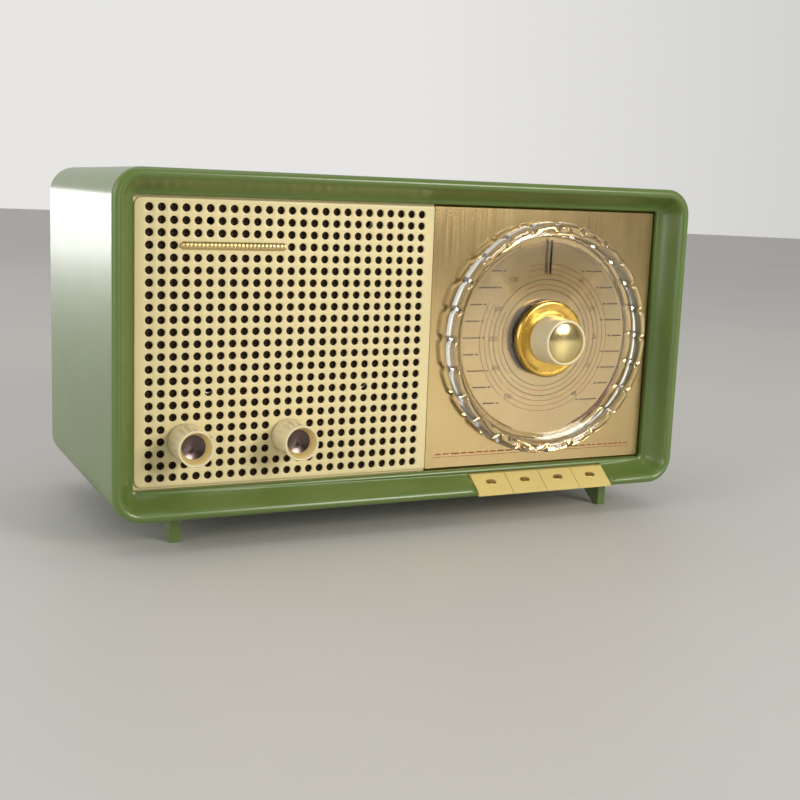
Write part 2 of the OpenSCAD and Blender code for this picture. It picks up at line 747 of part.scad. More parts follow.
// Bracket under the deck: a top plate, two cheeks for the hinge rod and two guides for the latch.
module switch_frame() {
  cheek = 38;
  color([0.7, 0.7, 0.68]) difference() {
    union() {
      block(keys_x - cheek, keys_x + cheek, 24, 78, deck_z - sheet_t, deck_z);
      for (sx = [-1, 1]) block(keys_x + sx * cheek - 0.6, keys_x + sx * cheek + 0.6, 24, 40,
        hinge_z - 5, deck_z);
      for (sx = [-1, 1]) block(keys_x + sx * 18 - 0.6, keys_x + sx * 18 + 0.6, latch_d - 3,
        latch_d + 4, slide_z + 3.1, deck_z);
    }
    translate([keys_x - 50, panel_y + hinge_d, hinge_z]) rotate([0, 90, 0])
      cylinder(r = hinge_r + fit, h = 100, $fn = medium);
    block(keys_x - 25, keys_x + 25, latch_d - 0.3, latch_d + 1.5, slide_z + 3.2, deck_z - 1.4);
  }
}

module latch_bar() {
  color([0.8, 0.8, 0.78]) {
    block(keys_x - 34, keys_x + 33, latch_d, latch_d + 1.2, slide_z + 3.5, deck_z - 1.7);
  }
}

// Insulating block with one channel for each slide.
module switch_block() {
  color([0.55, 0.35, 0.18]) difference() {
    block(keys_x - 37, keys_x + 37, 50, 74, slide_z - 5, deck_z - sheet_t);
    for (k = [1:keys_n]) block(key_x(k) - slide_w / 2 - gap, key_x(k) + slide_w / 2 + gap, 49, 75,
      slide_z - gap, slide_z + 2.8 + gap);
  }
}

// Stacked laminations with the winding in their window.
module transformer(x, d, w, h, t, coil) {
  block(x - w / 2, x + w / 2, d, d + t, deck_top, deck_top + h);
  block(x - w * 0.3, x + w * 0.3, d - coil, d, deck_top + h * 0.2, deck_top + h * 0.8);
  block(x - w * 0.3, x + w * 0.3, d + t, d + t + coil, deck_top + h * 0.2, deck_top + h * 0.8);
}

module mains_transformer() {
  color([0.45, 0.42, 0.4]) transformer(-90, 62, 50, 42, 24, 9);
}

module output_transformer() {
  color([0.45, 0.42, 0.4]) transformer(-30, 58, 30, 25, 12, 5);
}

module smoothing_capacitor() {
  color([0.75, 0.75, 0.74]) translate([-32, panel_y + 94, deck_top]) {
    cylinder(r = 12.5, h = 50, $fn = fine);
    cylinder(r = 14.5, h = 2, $fn = fine);
  }
}

module if_cans() {
  color([0.8, 0.8, 0.79]) for (x = [16, 52]) difference() {
    block(x - 8, x + 8, 56, 72, deck_top, deck_top + 34);
    translate([x, panel_y + 64, deck_top + 30]) cylinder(r = 2, h = 5, $fn = medium);
  }
}

rod_d = 78;
rod_z = foot_h + 121;

module along_x(x1, x2, r, hole = 0) {
  translate([x1, panel_y + rod_d, rod_z]) rotate([0, 90, 0]) difference() {
    cylinder(r = r, h = x2 - x1, $fn = medium);
    if (hole > 0) translate([0, 0, -1]) cylinder(r = hole, h = x2 - x1 + 2, $fn = medium);
  }
}

module ferrite_rod() {
  color([0.16, 0.16, 0.17]) along_x(-75, 75, 5);
}

module rod_coils() {
  color([0.72, 0.5, 0.3]) {
    along_x(-66, -40, 7, 5.1);
    along_x(24, 62, 7, 5.1);
  }
}

module rod_clips() {
  color([0.85, 0.83, 0.78]) for (x = [-30, 12]) difference() {
    block(x - 3, x + 3, rod_d - 8, rod_d + 8, rod_z - 8, roof_z);
    along_x(x - 5, x + 5, 5.1);
  }
}

cabinet();
grille_panel();
trim_bar();
speaker_cloth();
dial_plate();
front_feet();
rear_feet();
back_cover();
back_screws();
mains_inlet();
inlet_pins();
socket_strip();
chassis();
chassis_screws();
valve_sockets();
valves();
speaker_basket();
speaker_magnet();
capacitor_frame();
capacitor_stator();
volume_control();
tone_control();
spindle_bush();
switch_frame();
switch_block();
key_hinge_rod();
output_transformer();
mains_transformer();
smoothing_capacitor();
if_cans();
ferrite_rod();
rod_coils();
rod_clips();
drive_cord();
dial_disc();
pointer();
tuning_knob();
knob_ring();
knob_dome();
dial_spindle();
drive_pulley();
capacitor_rotor();
drive_drum();
volume_knob();
volume_insert();
volume_shaft();
tone_knob();
tone_insert();
tone_shaft();
key_1();
key_2();
key_3();
key_4();
switch_slide_1();
switch_slide_2();
switch_slide_3();
switch_slide_4();
latch_bar();
speaker_cone();
key_springs();
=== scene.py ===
import math
import random

import bpy
import bmesh
from mathutils import Matrix, Vector


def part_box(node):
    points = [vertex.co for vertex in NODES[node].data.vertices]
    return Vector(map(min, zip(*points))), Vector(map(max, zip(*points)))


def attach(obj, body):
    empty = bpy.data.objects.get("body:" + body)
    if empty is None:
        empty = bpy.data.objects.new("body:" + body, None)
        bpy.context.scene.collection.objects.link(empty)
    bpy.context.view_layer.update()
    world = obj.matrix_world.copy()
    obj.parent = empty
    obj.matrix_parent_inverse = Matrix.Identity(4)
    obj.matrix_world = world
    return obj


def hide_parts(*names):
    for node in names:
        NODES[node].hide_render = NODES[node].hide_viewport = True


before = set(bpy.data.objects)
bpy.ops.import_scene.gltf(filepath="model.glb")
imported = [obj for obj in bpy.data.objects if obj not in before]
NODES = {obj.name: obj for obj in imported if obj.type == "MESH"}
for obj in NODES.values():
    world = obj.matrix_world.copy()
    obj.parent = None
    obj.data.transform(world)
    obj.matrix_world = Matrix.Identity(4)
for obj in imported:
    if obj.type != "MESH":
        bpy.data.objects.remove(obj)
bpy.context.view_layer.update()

MM = 0.001
random.seed(11)

# ---------------------------------------------------------------- the frame's own measurements
PANEL_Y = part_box("grille_panel")[0].y


def middle(node):
    low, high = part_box(node)
    return (low + high) / 2


def point(x, u, z):
    """x and z in millimetres, u in millimetres ahead of the front panel."""
    return Vector((x * MM, PANEL_Y - u * MM, z * MM))


def reach(node):
    """A node's back and front, in millimetres ahead of the panel, and half its width."""
    low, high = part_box(node)
    return (PANEL_Y - high.y) / MM, (PANEL_Y - low.y) / MM, (high.x - low.x) / 2 / MM


SHAFT_BORE = 3.05
DIAL = middle("dial_disc") / MM
VOLUME = middle("volume_knob") / MM
TONE = middle("tone_knob") / MM


# ---------------------------------------------------------------- camera, floor and light
def make_camera():
    data = bpy.data.cameras.new("camera")
    data.lens, data.sensor_width = 54.88, 36
    data.clip_start, data.clip_end = 0.01, 50
    cam = bpy.data.objects.new("camera", data)
    bpy.context.scene.collection.objects.link(cam)
    # It looks back and to the right, a little down, and is held slightly turned.
    heading, tilt, roll = math.radians(25.86), math.radians(9.58), math.radians(2.19)
    turn = (Matrix.Rotation(-heading, 4, "Z") @ Matrix.Rotation(math.pi / 2 - tilt, 4, "X")
            @ Matrix.Rotation(roll, 4, "Z"))
    place = (-0.239, -0.532, 0.147)
    cam.matrix_world = Matrix.Translation(place) @ turn
    bpy.context.scene.camera = cam


def area_light(name, place, target, size, power, colour=(1, 1, 1)):
    data = bpy.data.lights.new(name, "AREA")
    data.shape, data.size, data.size_y = "RECTANGLE", size[0], size[1]
    data.energy, data.color = power, colour
    o = bpy.data.objects.new(name, data)
    bpy.context.scene.collection.objects.link(o)
    o.location = place
    o.rotation_euler = (Vector(target) - Vector(place)).to_track_quat("-Z", "Y").to_euler()
    return o


def make_stage():
    bm = bmesh.new()
    bmesh.ops.create_circle(bm, cap_ends=True, radius=6, segments=96)
    mesh = bpy.data.meshes.new("floor")
    bm.to_mesh(mesh)
    bm.free()
    floor = bpy.data.objects.new("floor", mesh)
    bpy.context.scene.collection.objects.link(floor)
    mat, nt, bsdf, coord = new_material("floor_pale")
    tone_colour(nt, bsdf, coord, (0.60, 0.585, 0.56), vary=0.02, scale=3)
    bsdf.inputs["Roughness"].default_value = 0.5
    mesh.materials.append(mat)


def make_light():
    """A room with a bright wall behind and to the left, a darker side in front, and four soft lights."""
    world = bpy.data.worlds.new("world")
    bpy.context.scene.world = world
    world.use_nodes = True
    nt = world.node_tree
    nt.nodes.clear()
    out = nt.nodes.new("ShaderNodeOutputWorld")
    bg = nt.nodes.new("ShaderNodeBackground")
    bg.inputs["Strength"].default_value = 1.0
    coord = nt.nodes.new("ShaderNodeTexCoord")
    split = nt.nodes.new("ShaderNodeSeparateXYZ")
    nt.links.new(coord.outputs["Generated"], split.inputs[0])
    across = math_node(nt, "MULTIPLY", split.outputs["X"], -0.35)
    along = math_node(nt, "MULTIPLY", split.outputs["Y"], 0.8)
    nt.links.new(ramp(nt, mapped(nt, math_node(nt, "ADD", across, along), 0, 1, -1, 1),
                      [(0.15, (0.20, 0.195, 0.19)), (0.5, (0.42, 0.42, 0.41)), (0.78, (0.80, 0.79, 0.77))]),
                 bg.inputs["Color"])
    nt.links.new(bg.outputs[0], out.inputs[0])
    target = (0, 0, 0.08)
    area_light("key", (0.62, -1.20, 0.56), (0.02, 0, 0.08), (0.45, 0.52), 11, (1, 0.97, 0.9))
    area_light("left", (-1.25, -0.40, 0.45), target, (0.8, 0.8), 6)
    area_light("side_glow", (-0.80, 1.50, 0.12), target, (0.9, 0.22), 2.8)
    area_light("top", (0.1, -0.1, 1.5), target, (0.8, 0.8), 2.5)
    bpy.context.scene.view_settings.view_transform = "Standard"


# ---------------------------------------------------------------- materials
def new_material(name):
    mat = bpy.data.materials.new(name)
    mat.use_nodes = True
    nt = mat.node_tree
    nt.nodes.clear()
    out = nt.nodes.new("ShaderNodeOutputMaterial")
    bsdf = nt.nodes.new("ShaderNodeBsdfPrincipled")
    nt.links.new(bsdf.outputs[0], out.inputs[0])
    coord = nt.nodes.new("ShaderNodeTexCoord").outputs["Object"]
    return mat, nt, bsdf, coord


def stretched(nt, coord, scale, shift=(0, 0, 0)):
    node = nt.nodes.new("ShaderNodeMapping")
    node.inputs["Scale"].default_value = scale
    node.inputs["Location"].default_value = [-shift[i] * scale[i] for i in range(3)]
    nt.links.new(coord, node.inputs["Vector"])
    return node.outputs[0]


def noise(nt, coord, scale, detail=3, rough=0.55, distortion=0):
    node = nt.nodes.new("ShaderNodeTexNoise")
    node.inputs["Scale"].default_value = scale
    node.inputs["Detail"].default_value = detail
    node.inputs["Roughness"].default_value = rough
    node.inputs["Distortion"].default_value = distortion
    nt.links.new(coord, node.inputs["Vector"])
    return node.outputs["Fac"]


def wave(nt, coord, scale, direction, rings=False, profile="SIN", distortion=0, detail=0):
    node = nt.nodes.new("ShaderNodeTexWave")
    node.wave_type = "RINGS" if rings else "BANDS"
    if rings:
        node.rings_direction = direction
    else:
        node.bands_direction = direction
    node.wave_profile = profile
    node.inputs["Scale"].default_value = scale
    node.inputs["Distortion"].default_value = distortion
    node.inputs["Detail"].default_value = detail
    nt.links.new(coord, node.inputs["Vector"])
    return node.outputs["Fac"]


def mapped(nt, value, low, high, from_low=0.0, from_high=1.0):
    node = nt.nodes.new("ShaderNodeMapRange")
    node.inputs["From Min"].default_value, node.inputs["From Max"].default_value = from_low, from_high
    node.inputs["To Min"].default_value, node.inputs["To Max"].default_value = low, high
    nt.links.new(value, node.inputs["Value"])
    return node.outputs["Result"]


def math_node(nt, kind, a, b):
    node = nt.nodes.new("ShaderNodeMath")
    node.operation = kind
    for socket, value in zip(node.inputs, (a, b)):
        if isinstance(value, (int, float)):
            socket.default_value = value
        else:
            nt.links.new(value, socket)
    return node.outputs[0]


def ramp(nt, value, stops):
    node = nt.nodes.new("ShaderNodeValToRGB")
    elements = node.color_ramp.elements
    while len(elements) < len(stops):
        elements.new(0.5)
    for element, (place, colour) in zip(elements, stops):
        element.position = place
        element.color = (*colour, 1)
    nt.links.new(value, node.inputs[0])
    return node.outputs[0]


def tone_colour(nt, bsdf, coord, colour, vary=0.06, scale=14, detail=4):
    dark = tuple(c * (1 - vary) for c in colour)
    light = tuple(min(1, c * (1 + vary)) for c in colour)
    value = noise(nt, coord, scale, detail)
    nt.links.new(ramp(nt, value, [(0.35, dark), (0.65, light)]), bsdf.inputs["Base Color"])


def rough_range(nt, bsdf, coord, low, high, scale=60):
    value = noise(nt, coord, scale, 4)
    nt.links.new(mapped(nt, value, low, high, 0.3, 0.7), bsdf.inputs["Roughness"])


def bump(nt, bsdf, height, depth_mm, strength=0.5):
    node = nt.nodes.new("ShaderNodeBump")
    node.inputs["Strength"].default_value = strength
    node.inputs["Distance"].default_value = depth_mm * MM
    nt.links.new(height, node.inputs["Height"])
    nt.links.new(node.outputs[0], bsdf.inputs["Normal"])


def plastic(name, colour, rough=(0.3, 0.38), vary=0.05, grain=900, depth=0.03, coat=0.0, scale=14,
            scatter=0.0):
    mat, nt, bsdf, coord = new_material(name)
    tone_colour(nt, bsdf, coord, colour, vary, scale)
    rough_range(nt, bsdf, coord, *rough)
    bump(nt, bsdf, noise(nt, coord, grain, 2), depth, 0.35)
    bsdf.inputs["IOR"].default_value = 1.5
    bsdf.inputs["Coat Weight"].default_value = coat
    bsdf.inputs["Coat Roughness"].default_value = 0.12
    if scatter:
        bsdf.inputs["Subsurface Weight"].default_value = scatter
        bsdf.inputs["Subsurface Radius"].default_value = (0.002, 0.0015, 0.0008)
        bsdf.inputs["Subsurface Scale"].default_value = 0.5
    return mat


def metal(name, colour, rough=(0.28, 0.4), vary=0.06, grain=500, depth=0.02, scale=40, lines=None):
    """lines is (scale in x, y, z) of the brushed or ground marks, or None for a plain finish."""
    mat, nt, bsdf, coord = new_material(name)
    tone_colour(nt, bsdf, coord, colour, vary, scale)
    bsdf.inputs["Metallic"].default_value = 1
    at = stretched(nt, coord, lines) if lines else coord
    fine = noise(nt, at, 1 if lines else grain, 3)
    nt.links.new(mapped(nt, fine, rough[0], rough[1], 0.3, 0.7), bsdf.inputs["Roughness"])
    bump(nt, bsdf, fine, depth, 0.3)
    return mat


def spun(name, colour, centre, rough=0.22, pitch=2400, vary=0.08, depth=0.01, anisotropic=0.0):
    """Turned metal: fine rings about an axis that runs front to back through centre."""
    mat, nt, bsdf, coord = new_material(name)
    at = stretched(nt, coord, (1, 1, 1), centre)
    rings = wave(nt, at, pitch, "Y", rings=True)
    dark = tuple(c * (1 - vary) for c in colour)
    nt.links.new(ramp(nt, rings, [(0.2, dark), (0.9, colour)]), bsdf.inputs["Base Color"])
    nt.links.new(mapped(nt, noise(nt, coord, 300, 3), rough * 0.8, rough * 1.3, 0.3, 0.7),
                 bsdf.inputs["Roughness"])
    bsdf.inputs["Metallic"].default_value = 1
    if anisotropic:
        bsdf.inputs["Anisotropic"].default_value = anisotropic
        tangent = nt.nodes.new("ShaderNodeTangent")
        tangent.direction_type, tangent.axis = "RADIAL", "Y"
        nt.links.new(tangent.outputs[0], bsdf.inputs["Tangent"])
    bump(nt, bsdf, rings, depth, 0.25)
    return mat


def cabinet_material():
    mat, nt, bsdf, coord = new_material("cabinet_green")
    large = noise(nt, coord, 7, 3)
    small = noise(nt, coord, 180, 4)
    both = math_node(nt, "ADD", math_node(nt, "MULTIPLY", large, 0.75), math_node(nt, "MULTIPLY", small, 0.25))
    nt.links.new(ramp(nt, both, [(0.38, (0.112, 0.180, 0.036)), (0.62, (0.126, 0.198, 0.042))]),
                 bsdf.inputs["Base Color"])
    nt.links.new(mapped(nt, noise(nt, coord, 45, 5), 0.32, 0.35, 0.3, 0.7), bsdf.inputs["Roughness"])
    bsdf.inputs["IOR"].default_value = 1.5
    bsdf.inputs["Coat Weight"].default_value = 0.3
    bsdf.inputs["Coat Roughness"].default_value = 0.2
    bump(nt, bsdf, noise(nt, coord, 420, 2), 0.015, 0.2)
    return mat


def board_material():
    mat, nt, bsdf, coord = new_material("cover_board")
    fibres = noise(nt, stretched(nt, coord, (160, 160, 900)), 1, 5, 0.65, 0.6)
    blots = noise(nt, coord, 30, 4)
    both = math_node(nt, "ADD", math_node(nt, "MULTIPLY", fibres, 0.65), math_node(nt, "MULTIPLY", blots, 0.35))
    nt.links.new(ramp(nt, both, [(0.32, (0.045, 0.027, 0.014)), (0.52, (0.105, 0.066, 0.036)),
                                 (0.7, (0.17, 0.115, 0.068))]), bsdf.inputs["Base Color"])
    nt.links.new(mapped(nt, fibres, 0.62, 0.86, 0.3, 0.7), bsdf.inputs["Roughness"])
    bump(nt, bsdf, fibres, 0.12, 0.6)
    return mat


def dial_plate_material():
    mat, nt, bsdf, coord = new_material("dial_gold")
    brushed = noise(nt, stretched(nt, coord, (5200, 5200, 34)), 1, 4, 0.6)
    wide = noise(nt, coord, 16, 3)
    both = math_node(nt, "ADD", math_node(nt, "MULTIPLY", brushed, 0.5), math_node(nt, "MULTIPLY", wide, 0.5))
    nt.links.new(ramp(nt, both, [(0.35, (0.47, 0.335, 0.150)), (0.65, (0.60, 0.455, 0.225))]),
                 bsdf.inputs["Base Color"])
    bsdf.inputs["Metallic"].default_value = 0.95
    nt.links.new(mapped(nt, brushed, 0.15, 0.24, 0.3, 0.7), bsdf.inputs["Roughness"])
    bump(nt, bsdf, brushed, 0.010, 0.3)
    return mat


def clear_material(name, tint, rough=0.02):
    mat, nt, bsdf, coord = new_material(name)
    tone_colour(nt, bsdf, coord, tint, 0.01, 20)
    bsdf.inputs["Transmission Weight"].default_value = 1
    bsdf.inputs["IOR"].default_value = 1.49
    nt.links.new(mapped(nt, noise(nt, coord, 90, 4), rough, rough + 0.03, 0.35, 0.75),
                 bsdf.inputs["Roughness"])
    bump(nt, bsdf, noise(nt, coord, 60, 2), 0.02, 0.12)
    return mat


def woven(name, dark, light, pitch=0.9, depth=0.15):
    """Plain weave: threads across and up, each pitch millimetres apart."""
    mat, nt, bsdf, coord = new_material(name)
    count = 1 / (pitch * MM) / 2
    across = wave(nt, coord, count * 0.32, "X")
    up = wave(nt, coord, count * 0.32, "Z")
    both = math_node(nt, "MULTIPLY", across, up)
    mixed = math_node(nt, "ADD", both, math_node(nt, "MULTIPLY", noise(nt, coord, 500, 4), 0.35))
    nt.links.new(ramp(nt, mixed, [(0.15, dark), (0.85, light)]), bsdf.inputs["Base Color"])
    bsdf.inputs["Sheen Weight"].default_value = 0.2
    bsdf.inputs["Sheen Roughness"].default_value = 0.5
    nt.links.new(mapped(nt, both, 0.95, 0.75), bsdf.inputs["Roughness"])
    bump(nt, bsdf, mixed, depth, 0.8)
    return mat


def wound(name, dark, light, pitch=0.35, direction="X", depth=0.1, metallic=0.0, rough=(0.35, 0.5)):
    """Layers of fine wire, cord or sheet: lines pitch millimetres apart along one direction."""
    mat, nt, bsdf, coord = new_material(name)
    lines = wave(nt, coord, 0.314 / (pitch * MM) / 2, direction)
    mixed = math_node(nt, "ADD", math_node(nt, "MULTIPLY", lines, 0.7),
                      math_node(nt, "MULTIPLY", noise(nt, coord, 260, 4), 0.4))
    nt.links.new(ramp(nt, mixed, [(0.2, dark), (0.85, light)]), bsdf.inputs["Base Color"])
    bsdf.inputs["Metallic"].default_value = metallic
    nt.links.new(mapped(nt, mixed, rough[1], rough[0]), bsdf.inputs["Roughness"])
    bump(nt, bsdf, mixed, depth, 0.6)
    return mat


def make_materials():
    to_m = lambda p: (p.x * MM, PANEL_Y, p.z * MM)
    made = {
        "cabinet_green": cabinet_material(),
        "grille_cream": plastic("grille_cream", (0.88, 0.75, 0.41), (0.36, 0.46), 0.03, 700, 0.02),
        "trim_gold": metal("trim_gold", (0.72, 0.56, 0.26), (0.28, 0.4)),
        "cloth_brown": woven("cloth_brown", (0.012, 0.006, 0.003), (0.05, 0.026, 0.012), 0.8),
        "dial_gold": dial_plate_material(),
        "cover_brown": board_material(),
        "screw_steel": metal("screw_steel", (0.60, 0.60, 0.57), (0.3, 0.45), 0.1),
        "dark_plastic": plastic("dark_plastic", (0.022, 0.017, 0.014), (0.3, 0.45), 0.2, 600, 0.04),
        "brass": metal("brass", (0.76, 0.56, 0.25), (0.24, 0.38), 0.1),
        "plated_steel": metal("plated_steel", (0.55, 0.54, 0.49), (0.32, 0.5), 0.14, 300, 0.03, 22),
        "wafer_brown": plastic("wafer_brown", (0.25, 0.115, 0.045), (0.45, 0.6), 0.18, 400, 0.04, 0, 60),
        "valve_glass": clear_material("valve_glass", (0.96, 0.98, 0.98)),
        "magnet_grey": plastic("magnet_grey", (0.055, 0.055, 0.06), (0.5, 0.7), 0.2, 300, 0.1),
        "aluminium": metal("aluminium", (0.74, 0.74, 0.73), (0.3, 0.46), 0.07),
        "ferrite": plastic("ferrite", (0.022, 0.022, 0.024), (0.5, 0.7), 0.3, 500, 0.08),
        "coil_brown": wound("coil_brown", (0.16, 0.06, 0.02), (0.5, 0.27, 0.1), 0.4, "X"),
        "laminations": wound("laminations", (0.02, 0.018, 0.016), (0.09, 0.08, 0.07), 0.5, "Y", 0.08, 0.4),
        "clip_plastic": plastic("clip_plastic", (0.62, 0.57, 0.45), (0.4, 0.55)),
        "cord": wound("cord", (0.32, 0.25, 0.15), (0.62, 0.54, 0.4), 0.5, "X", 0.08, 0, (0.75, 0.9)),
        "clear_plastic": clear_material("clear_plastic", (0.985, 0.975, 0.94)),
        "pointer_brown": plastic("pointer_brown", (0.34, 0.22, 0.12), (0.35, 0.5)),
        "knob_cream": plastic("knob_cream", (0.84, 0.73, 0.47), (0.2, 0.28), 0.03, 700, 0.015, 0.3, 30, 0.08),
        "ring_amber": spun("ring_amber", (0.72, 0.46, 0.10), to_m(DIAL), 0.24, 1500),
        "dome_gold": spun("dome_gold", (0.80, 0.65, 0.30), to_m(DIAL), 0.16, 1500),
        "insert_dark": spun("insert_dark", (0.15, 0.11, 0.10), to_m(VOLUME), 0.16, 1800, 0.1, 0.004, 0.85),
        "shaft_steel": metal("shaft_steel", (0.66, 0.66, 0.64), (0.22, 0.34), 0.06),
        "drum_plastic": plastic("drum_plastic", (0.66, 0.62, 0.52), (0.4, 0.55)),
        "key_cream": plastic("key_cream", (0.77, 0.61, 0.22), (0.26, 0.34), 0.03, 800, 0.02, 0.25, 30, 0.08),
        "cone_paper": plastic("cone_paper", (0.03, 0.027, 0.024), (0.8, 0.95), 0.3, 900, 0.2),
        "spring_steel": metal("spring_steel", (0.42, 0.42, 0.41), (0.25, 0.4)),
    }
    made["mark_bronze"] = metal("mark_bronze", (0.50, 0.33, 0.12), (0.3, 0.45))
    # The brown and red print materials also colour the dial's painted reflection arcs.
    made["print_and_painted_reflection_brown"] = plastic("print_and_painted_reflection_brown", (0.075, 0.030, 0.018), (0.5, 0.6))
    made["print_and_painted_reflection_red"] = plastic("print_and_painted_reflection_red", (0.32, 0.055, 0.025), (0.5, 0.6))
    made["wall_cream"] = plastic("wall_cream", (0.84, 0.64, 0.27), (0.22, 0.3), 0.03, 700, 0.015, 0.2)
    made["insert_volume"] = made["insert_dark"]
    made["insert_tone"] = spun("insert_tone", (0.15, 0.11, 0.10), to_m(TONE), 0.16, 1800, 0.1, 0.004, 0.85)
    return made


# ---------------------------------------------------------------- mesh helpers
def add_piece(name, verts, faces, body, slot, material, sharp=35, merge=0.0):
    mesh = bpy.data.meshes.new(name)
    mesh.from_pydata([tuple(v) for v in verts], [], faces)
    bm = bmesh.new()
    bm.from_mesh(mesh)
    if merge:
        bmesh.ops.remove_doubles(bm, verts=bm.verts, dist=merge)
    bmesh.ops.recalc_face_normals(bm, faces=bm.faces)
    bm.to_mesh(mesh)
    bm.free()
    mesh.shade_smooth()
    mesh.set_sharp_from_angle(angle=math.radians(sharp))
    mesh.materials.append(material)
    o = bpy.data.objects.new(name, mesh)
    bpy.context.scene.collection.objects.link(o)
    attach(o, body)
    return o


def lathe(profile, x, z, steps=96, close=False, change=None, angles=None):
    """Turns a profile of (radius, forward) millimetres about the front-to-back axis through x, z."""
    angles = angles or [2 * math.pi * i / steps for i in range(steps)]
    count = len(angles)
    verts, rows = [], []
    for r, u in profile:
        if r < 1e-6:
            rows.append([len(verts)] * count)
            verts.append(point(x, u, z))
            continue
        row = []
        for a in angles:
            rr, uu = change(r, u, a) if change else (r, u)
            row.append(len(verts))
            verts.append(point(x + rr * math.cos(a), uu, z + rr * math.sin(a)))
        rows.append(row)
    if close:
        rows.append(rows[0])
    faces = []
    for one, two in zip(rows, rows[1:]):
        for i in range(count):
            j = (i + 1) % count
            face = []
            for v in (one[i], one[j], two[j], two[i]):
                if v not in face:
                    face.append(v)
            if len(face) > 2:
                faces.append(face)
    return verts, faces


def arc(cx, cy, r, a1, a2, n):
    out = []
    for i in range(n + 1):
        a = math.radians(a1 + (a2 - a1) * i / n)
        out.append((cx + r * math.cos(a), cy + r * math.sin(a)))
    return out


def prism(outline, y1, y2):
    """A closed shape from an outline of (x, z) millimetres between two forward distances."""
    n = len(outline)
    verts = [point(x, y1, z) for x, z in outline] + [point(x, y2, z) for x, z in outline]
    faces = [list(range(n)), list(range(2 * n - 1, n - 1, -1))]
    faces += [[i, (i + 1) % n, n + (i + 1) % n, n + i] for i in range(n)]
    return verts, faces


def joined(parts):
    verts, faces = [], []
    for v, f in parts:
        base = len(verts)
        verts += v
        faces += [[base + i for i in face] for face in f]
    return verts, faces


# ---------------------------------------------------------------- pieces
def make_disc(mats):
    """The clear disc: a flat web that steps forward to a thick rounded rim with grooves all round."""
    back, top, rim = reach("dial_disc")
    count = 24
    # Each groove gets points that crowd towards its middle; one side mirrors the other.
    half = [0.045, 0.08, 0.115, 0.16, 0.22, 0.3, 0.4]
    spread = [-0.5] + [-share for share in reversed(half)] + [0.0] + half
    angles = [2 * math.pi * (k + s) / count for k in range(count) for s in spread]
    inner = rim - 6.3
    crest = rim - 3.15
    profile = [(17.2, back), (30, back), (inner - 3.4, back), (inner - 2.2, back + 0.1),
               (inner - 0.6, back + 1.0), (inner + 0.6, back + 1.2),
               (rim - 1.2, back + 1.2), (rim - 0.35, back + 1.45), (rim, back + 2.2)]
    profile += [(crest + x, back + 2.6 + y) for x, y in arc(0, 0, top - back - 2.6, 0, 180, 14)]
    profile = [(min(rim, r), u) for r, u in profile]
    profile += [(inner - 0.7, back + 2.35), (inner - 2.2, back + 2.02), (inner - 5, back + 1.85),
                (30, back + 2.0), (17.2, back + 2.0)]

    def notched(r, u, a):
        t = (a / (2 * math.pi) * count) % 1
        t = t - 1 if t > 0.5 else t
        groove = math.exp(-(t / 0.085) ** 2)
        front = min(1, max(0, (u - back - 1.6) / 1.6))
        outer = min(1, max(0, (r - crest + 1.4) / 2.4))
        return r - 0.95 * groove * min(1, max(0, (r - rim + 1.6) / 1.6)), u - front * outer * 1.5 * groove

    verts, faces = lathe(profile, DIAL.x, DIAL.z, close=True, change=notched, angles=angles)
    o = add_piece("clear_disc", verts, faces, "tuning", "clear_plastic", mats["clear_plastic"], 50)
    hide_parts("dial_disc")
    return o


